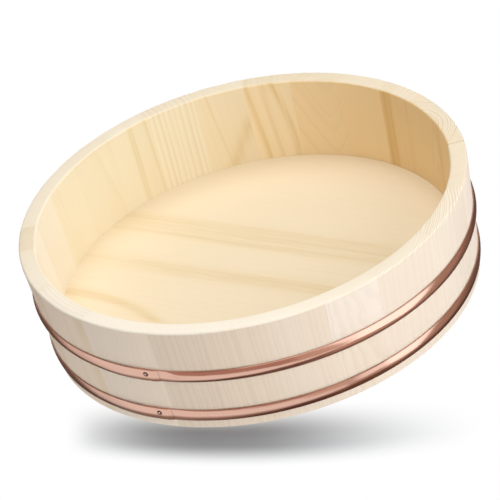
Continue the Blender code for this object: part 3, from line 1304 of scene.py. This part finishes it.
@dataclass(frozen=True)
class ReflectedCard:
    """A card far off round the tub, which only the copper's reflections show.

    Its span is where the hoops mirror it, as azimuths on them. Its low and high edges are
    elevations at both ends of the span. All are in degrees.
    """

    name: str
    span: Range
    colour: Colour
    low: Range = (-85.0, -85.0)
    high: Range = (20.0, 20.0)
    far: float = 3.0
    hoop_radius: float = 0.1615
    camera_azimuth: float = 270.0
    columns: int = 24
    rows: int = 8

    def mirrored(self, along: float, up: float) -> Vector:
        """Find a point of the card.

        Args:
            along: share of its span.
            up: share of its rise.

        Returns:
            The point.
        """
        turn = math.radians(self.span[0] + along * (self.span[1] - self.span[0]))
        low, high = (edge[0] + along * (edge[1] - edge[0]) for edge in (self.low, self.high))
        rise = math.radians(low + up * (high - low))
        sight = 2 * turn - math.radians(self.camera_azimuth)
        return self.hoop_radius * bearing(turn) + self.far * bearing(sight, rise)

    def stand(self) -> None:
        """Stand the card round the tub."""
        bm = bmesh.new()
        ups = [j / self.rows for j in range(self.rows + 1)]
        grid = [
            [bm.verts.new(self.mirrored(i / self.columns, up)) for up in ups]
            for i in range(self.columns + 1)
        ]
        for left, right in zip(grid, grid[1:]):
            for j in range(self.rows):
                bm.faces.new((left[j], left[j + 1], right[j + 1], right[j]))
        mesh = mesh_from(self.name, bm)
        graph = MaterialGraph(self.name)
        graph.show(graph.node("ShaderNodeEmission", None, {"Color": (*self.colour, 1.0)}))
        mesh.materials.append(graph.material)
        card = add(self.name, mesh)
        card.visible_camera = False
        card.visible_diffuse = False
        card.visible_transmission = False
        card.visible_shadow = False


@dataclass(frozen=True)
class PaintedShadowPatch:
    """A painted shadow: grey paint on the floor that only the camera sees, on which the tub's real
    shadow also falls.

    The painted shadow has its own length and depth in front of the tub, which are linear in X and
    Y, and it goes on behind the tub as a thin painted ring.
    """

    place: Triple = (-0.0496, -0.1609, 0.0)
    long: Range = (14.0, -1.925)
    deep: Range = (-3.744, -8.25)
    start: Range = (-1.92, -1.36)
    deepening: Range = (-1.68, -0.12)
    swell: float = 2.5
    fade: Range = (0.15, 2.60)
    rear_edge: Range = (-0.37, -0.01)
    front_edge: Range = (0.09, 0.32)
    bow: float = 0.035
    ring: Range = (0.150, 0.205)
    behind: Range = (0.075, 0.140)

    def painted_shadow(self, graph: MaterialGraph, place: Signal) -> Signal:
        """How grey the floor is.

        Args:
            graph: the floor's nodes.
            place: place on the floor.

        Returns:
            Share of the painted shadow's grey at each point.
        """
        x, y, _ = graph.separate(graph.vector("SUBTRACT", place, self.place))
        length = x * self.long[0] + y * self.long[1]
        depth = x * self.deep[0] + y * self.deep[1]
        bowed = depth + self.bow * length * length
        deepening = 1.0 - (1.0 - length.ramp(*self.deepening, False)) ** self.swell
        painted_shadow = length.ramp(*self.start) * deepening * (1.0 - length.ramp(*self.fade))
        painted_shadow = painted_shadow * depth.ramp(*self.rear_edge) * (1.0 - bowed.ramp(*self.front_edge))
        # a thin painted shadow ring behind the tub
        ring = 1.0 - graph.length(place).ramp(*self.ring)
        return painted_shadow.maths("MAXIMUM", ring * graph.separate(place)[1].ramp(*self.behind))


@dataclass
class Studio:
    """The camera of the photograph, soft lights and a white floor with a painted shadow."""

    distance: float = 2.31
    rim_height: float = 0.0862
    elevation: float = 0.5520718
    roll: float = 0.261463
    pan: float = -0.00284722
    tilt: float = 0.01677768
    lens: float = 231.656
    sensor: float = 36.0
    clip: float = 100.0
    floor_radius: float = 6.0
    floor_sides: int = 96
    air: float = 0.27
    paint: float = 0.95
    bounce: float = 1.02
    bounce_reach: Range = (0.15, 0.25)
    # grey of the painted shadow, as the camera sees it
    shade: Colour = (0.350, 0.368, 0.386)
    patch: PaintedShadowPatch = PaintedShadowPatch()
    softboxes: tuple[Softbox, ...] = (
        Softbox("top_softbox", 90.0, 75.0, 20.3),
        Softbox("key_softbox", 322.0, 24.0, 17.0, 1.4, mirrored=False),
        Softbox("front_softbox", 270.0, 38.0, 6.1),
    )
    cards: tuple[ReflectedCard, ...] = (
        ReflectedCard("far_left_card", (150, 201.5), (0.15, 0.10, 0.085)),
        ReflectedCard("mid_left_card", (201.5, 211.5), (0.48, 0.43, 0.39), high=(8, 8), far=3.2),
        ReflectedCard("left_card", (211.5, 220), (0.77, 0.75, 0.75), high=(8, 8), far=3.2),
        ReflectedCard("light_card", (220, 286), (0.91, 0.92, 0.91), high=(8, 8), far=3.2),
        # the foot cards are dark sheets that put the shade under the tub into the copper's
        # reflections: painted shade
        ReflectedCard("left_foot_shade_card", (201.5, 240), (0.14, 0.08, 0.065), high=(-66, -66)),
        ReflectedCard("front_foot_shade_card", (240, 286), (0.24, 0.14, 0.11), high=(-66, -46)),
        ReflectedCard("front_start_card", (238, 250), (0.46, 0.30, 0.26), (-10, -20), (80, 80)),
        ReflectedCard("front_card", (250, 273), (0.46, 0.30, 0.26), (-20, -25), (80, 80)),
        ReflectedCard("front_end_card", (273, 286), (0.64, 0.50, 0.43), (-33, -38), (80, 80)),
        # painted shade under the tub, as the copper mirrors it
        ReflectedCard("right_foot_shade_card", (286, 310), (0.55, 0.42, 0.35), high=(-37, -45)),
        ReflectedCard("right_start_card", (280, 288), (1.40, 1.43, 1.43), (18, -37), (80, 80), 2.9),
        ReflectedCard("right_card", (286, 309), (1.66, 1.76, 1.80), (-37, -45), (80, 80)),
        ReflectedCard("mid_back_card", (310, 325), (0.43, 0.31, 0.25)),
        ReflectedCard("back_card", (325, 336), (0.26, 0.175, 0.14)),
        ReflectedCard("far_back_card", (336, 390), (0.14, 0.095, 0.075)),
    )

    def camera(self) -> None:
        """Stand the camera where the photograph was taken from."""
        data = bpy.data.cameras.new("photo_camera")
        data.lens = self.lens
        data.sensor_width = self.sensor
        data.clip_end = self.clip
        camera = add("photo_camera", data)
        back = Vector((0.0, -math.cos(self.elevation), math.sin(self.elevation)))
        place = Matrix.Translation(back * self.distance + Vector((0.0, 0.0, self.rim_height)))
        look = Matrix.Rotation(math.pi / 2 - self.elevation, 4, "X")
        turn = Matrix.Rotation(-self.roll, 4, "Z") @ Matrix.Rotation(self.pan, 4, "Y")
        camera.matrix_world = place @ look @ turn @ Matrix.Rotation(-self.tilt, 4, "X")
        bpy.context.scene.camera = camera

    def seen(self, graph: NodeGraph, share: Signal | float = 1.0) -> Signal:
        """Rays that show the background: straight ones by a share, and mirrored or bent ones."""
        path = graph.node("ShaderNodeLightPath", output="Is Camera Ray")
        return path * share + path.output("Is Glossy Ray") + path.output("Is Transmission Ray")

    def floor(self) -> None:
        """Lay a floor that the camera sees white but for a painted shadow.

        The painted shadow is grey paint, which the camera sees darker than the lit floor and which
        also takes the tub's real shadow. Near the tub the floor also glows for diffuse rays, which
        lights the foot of the wall.
        """
        bm = bmesh.new()
        sides, radius = self.floor_sides, self.floor_radius
        bmesh.ops.create_circle(bm, cap_ends=True, segments=sides, radius=radius)
        mesh = mesh_from("studio_floor", bm)
        graph = MaterialGraph("studio_floor_white")
        place = graph.place()
        camera = graph.node("ShaderNodeLightPath", output="Is Camera Ray")
        # the camera sees the painted shadow's grey, other rays see the plain paint
        painted_shadow_greys = [self.paint + (tone - self.paint) * camera for tone in self.shade]
        paint = graph.node("ShaderNodeBsdfDiffuse", None, {"Color": graph.combine(*painted_shadow_greys)})
        glow = graph.node("ShaderNodeEmission", None, {"Strength": 1.0})
        near = 1.0 - graph.length(place).ramp(*self.bounce_reach)
        share = self.seen(graph, 1.0 - self.patch.painted_shadow(graph, place))
        share = share + self.bounce * near * camera.output("Is Diffuse Ray")
        graph.show(graph.node("ShaderNodeMixShader", None, {0: share, 1: paint, 2: glow}))
        mesh.materials.append(graph.material)
        floor = add("studio_floor", mesh)
        floor.visible_glossy = False

    def sky(self) -> None:
        """Fill the room with a little even light, and show white past the floor's edge."""
        world = bpy.data.worlds.new("studio_air")
        bpy.context.scene.world = world
        world.use_nodes = True
        graph = NodeGraph(world.node_tree)
        graph.tree.nodes.clear()
        fill, plain = (
            graph.node("ShaderNodeBackground", None, {"Color": (1.0, 1.0, 1.0, 1.0), "Strength": s})
            for s in (self.air, 1.0)
        )
        mixed = graph.node("ShaderNodeMixShader", None, {0: self.seen(graph), 1: fill, 2: plain})
        graph.feed(graph.tree.nodes.new("ShaderNodeOutputWorld").inputs["Surface"], mixed)

    def build(self) -> None:
        """Set the stage."""
        self.camera()
        self.floor()
        self.sky()
        for softbox in self.softboxes:
            softbox.hang(self.rim_height / 2)
        for card in self.cards:
            card.stand()
        bpy.context.scene.view_settings.view_transform = "Standard"


def stave_stock(names: list[str]) -> dict[str, Timber]:
    """Choose each stave's place in its log: drawn first, then listed one by one where the photo
    shows it.

    Args:
        names: the staves, in order round the ring.

    Returns:
        The timber of each stave.
    """
    draw = random.Random(7)
    stock = {}
    for name in names:
        stock[name] = Timber(
            cut=draw.choice(list(Cut)),
            pith=draw.uniform(0.06, 0.14),
            lean=(draw.uniform(-0.05, 0.05), draw.uniform(-0.04, 0.04)),
            ring=draw.uniform(0.0024, 0.0038),
            contrast=draw.uniform(0.05, 0.14),
            tone=draw.uniform(0.98, 1.02),
            outside_tint=draw.uniform(-0.06, 0.08),
            shift=draw.uniform(-0.01, 0.01),
        )
    quarter, rift, flat = Cut.QUARTER, Cut.RIFT, Cut.FLAT
    stock["stave_01"] = Timber(
        flat, 0.030, (0.05, 0.0), 0.0017, 0.16, 0.97, tint_and_shade=0.6, end_grain=5.0, end_pale=-0.08,
        streaks=(Streak(-0.006, 0.0035, 0.22),),
    )
    stock["stave_02"] = Timber(
        quarter, 0.10, (0.0, 0.02), 0.0036, 0.14, 0.97, tint_and_shade=0.62, end_pale=-0.2,
        streaks=(
            Streak(0.0106, 0.0052, 0.35),
            Streak(0.0122, 0.0012, 0.16),
            Streak(0.0066, 0.0012, 0.14),
            Streak(-0.012, 0.0015, 0.10),
        ),
    )
    stock["stave_03"] = Timber(
        flat, 0.12, (0.0, 0.0), 0.0040, 0.05, 1.02, tint_and_shade=0.5, end_pale=-0.25
    )
    stock["stave_04"] = Timber(
        flat, 0.012, (0.0, 0.0), 0.0095, 0.16, 1.01, tint_and_shade=0.44, shift=-0.0085, swell=-0.5,
        end_pale=-0.45,
    )
    stock["stave_05"] = Timber(
        quarter, 0.10, (0.0, 0.10), 0.0052, 0.10, 1.045, tint_and_shade=0.26, end_pale=-0.45,
        streaks=(
            Streak(0.0115, 0.0027, 0.38, 0.132),
            Streak(0.0006, 0.0026, 0.20, 0.075),
            Streak(-0.0136, 0.0028, 0.36, 0.10, 3.6),
        ),
    )
    stock["stave_06"] = Timber(
        rift, 0.08, (0.0, 0.05), 0.0040, 0.06, tint_and_shade=0.14, end_pale=-0.2,
        streaks=(
            Streak(-0.0083, 0.0056, 0.28, -0.55, along=-0.004, reach=0.030),
            Streak(0.0050, 0.0011, 0.18, 0.14),
        ),
    )
    stock["stave_07"] = Timber(
        quarter, 0.12, (0.0, -0.04), 0.0043, 0.32, 1.01, season=0.8, end_grain=0.0, end_pale=-0.2
    )
    stock["stave_08"] = Timber(
        flat, 0.12, (0.0, 0.0), 0.0040, 0.05, end_pale=0.05,
        streaks=(
            Streak(-0.0014, 0.0024, 0.16, -0.02),
            Streak(-0.0002, 0.0006, 0.14, -0.02),
            Streak(-0.0028, 0.0006, 0.14, -0.02),
            Streak(-0.0095, 0.0060, 0.07),
            Streak(-0.0160, 0.0020, 0.22, 0.01),
        ),
    )
    stock["stave_10"] = Timber(rift, 0.10, (0.0, 0.01), 0.0032, 0.06, 1.008, tint_and_shade=-0.04)
    stock["stave_11"] = Timber(rift, 0.09, (0.0, 0.02), 0.0030, 0.06, 1.01, tint_and_shade=-0.5)
    stock["stave_12"] = Timber(
        rift, 0.07, (0.0, 0.0), 0.0026, 0.10, 1.04, tint_and_shade=-0.8, end_grain=2.5, end_pale=-0.42
    )
    stock["stave_13"] = Timber(
        rift, 0.10, (0.0, 0.03), 0.0030, 0.10, 1.04, tint_and_shade=-0.5, outside_tint=0.15, end_pale=-0.1,
        streaks=(Streak(0.0270, 0.0030, 0.20),),
    )
    stock["stave_14"] = Timber(
        flat, 0.10, (0.0, 0.0), 0.0034, 0.10, 1.05, outside_tint=0.14, end_grain=1.5,
        streaks=(
            Streak(-0.0255, 0.0030, 0.16),
            Streak(0.0064, 0.0022, 0.10),
            Streak(0.0235, 0.0060, 0.20),
        ),
    )
    stock["stave_15"] = Timber(
        rift, 0.06, (0.0, 0.03), 0.0026, 0.07, 1.03, outside_tint=0.05, ripple=0.002, end_grain=-0.5
    )
    stock["stave_16"] = Timber(
        quarter, 0.11, (0.0, -0.02), 0.0036, 0.22, 0.942, outside_tint=0.12, season=3.0, ripple=0.0015,
        end_grain=-0.85,
    )
    stock["stave_17"] = Timber(
        rift, 0.08, (0.0, -0.03), 0.0030, 0.13, 0.948, outside_tint=0.06, season=3.0, ripple=0.0015,
        end_grain=-0.8, streaks=(Streak(-0.024, 0.010, 0.10),),
    )
    stock["stave_18"] = Timber(
        flat, 0.045, (-0.06, 0.0), 0.0024, 0.15, 0.985, outside_tint=-0.22, shift=0.016, ripple=0.004,
        end_grain=-0.5, streaks=(Streak(0.0, 0.040, 0.16, along=-0.024, reach=0.050),),
    )
    stock["stave_19"] = Timber(
        flat, 0.15, (0.0, 0.02), 0.0018, 0.08, 0.95, outside_tint=0.03, shift=-0.055, end_grain=3.0,
        end_pale=0.10,
    )
    stock["stave_20"] = Timber(
        flat, 0.15, (0.0, 0.0), 0.0018, 0.10, 0.97, shift=-0.055, end_grain=5.5, end_pale=0.17
    )
    stock["stave_21"] = Timber(
        rift, 0.06, (0.0, 0.01), 0.0017, 0.12, 1.03, outside_tint=-0.15, end_grain=1.8, end_pale=-0.15
    )
    return stock


def board_stock(names: list[str]) -> dict[str, Timber]:
    """Choose each floor board's place in its log.

    Args:
        names: the boards, from the near side to the far side.

    Returns:
        The timber of each board.
    """
    rift, lean = Cut.RIFT, 0.036
    near_streaks = (
        Streak(-0.0220, 0.0110, 0.13, lean),
        Streak(-0.0252, 0.0026, 0.15, lean, along=-0.02, reach=0.19),
        Streak(-0.0190, 0.0032, 0.20, lean, along=0.03, reach=0.17),
        Streak(-0.0144, 0.0018, 0.13, lean, along=0.03, reach=0.14),
        Streak(0.0154, 0.0050, 0.45, bow=3.4, along=-0.130, reach=0.15),
    )
    far_streaks = (
        Streak(0.0080, 0.0150, 0.14, lean),
        Streak(-0.0027, 0.0042, 0.17, lean, along=-0.05, reach=0.20),
        Streak(0.0086, 0.0034, 0.17, lean, along=0.03, reach=0.20),
        Streak(0.0153, 0.0024, 0.15, lean, along=-0.02, reach=0.18),
        Streak(0.0204, 0.0026, 0.14, lean, along=0.05, reach=0.16),
    )
    timbers = (
        Timber(rift, 0.09, (0.0, 0.06), 0.0050, 0.04),
        Timber(rift, 0.08, (0.0, 0.07), 0.0040, 0.05, ripple=0.002, streaks=near_streaks),
        Timber(rift, 0.10, (0.0, 0.06), 0.0036, 0.05, ripple=0.002, streaks=far_streaks),
        Timber(rift, 0.10, (0.0, 0.05), 0.0034, 0.03),
    )
    return dict(zip(names, timbers))


def main() -> None:
    """Build the tub's looks from the staves outwards, then the studio."""
    logging.basicConfig(level=logging.INFO, format="%(message)s")
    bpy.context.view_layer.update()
    nodes = sorted(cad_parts)
    staves = [name for name in nodes if name.startswith("stave_") and "peg" not in name]
    boards = [name for name in nodes if name.startswith("bottom_board_")]
    ring = StaveRing(
        names=staves,
        stock=stave_stock(staves),
        open_joints={
            "stave_01": 0.0001, "stave_02": 0.00018, "stave_17": 0.00006, "stave_21": 0.0001
        },
        seams={"stave_01": 0.0007},
    )
    ring.build()
    BoardedBottom(stock=board_stock(boards)).build()
    # the lower hoop: painted shade over a span that holds back its highlight, and painted shade
    # from higher up its lower side
    dulled = (math.radians(-75), math.radians(-65))
    upper = CopperHoop.on("upper_hoop", lean=0.0015)
    lower = CopperHoop.on(
        "lower_hoop", lean=0.0004, crown=0.0006, splay=0.008, soil=0.05, dulled=dulled
    )
    upper.build("upper_hoop", ring)
    lower.build("lower_hoop", ring)
    HoopNails().build(ring, (upper, lower))
    JointPegs().dress()
    Studio().build()


if __name__ == "__main__":
    main()
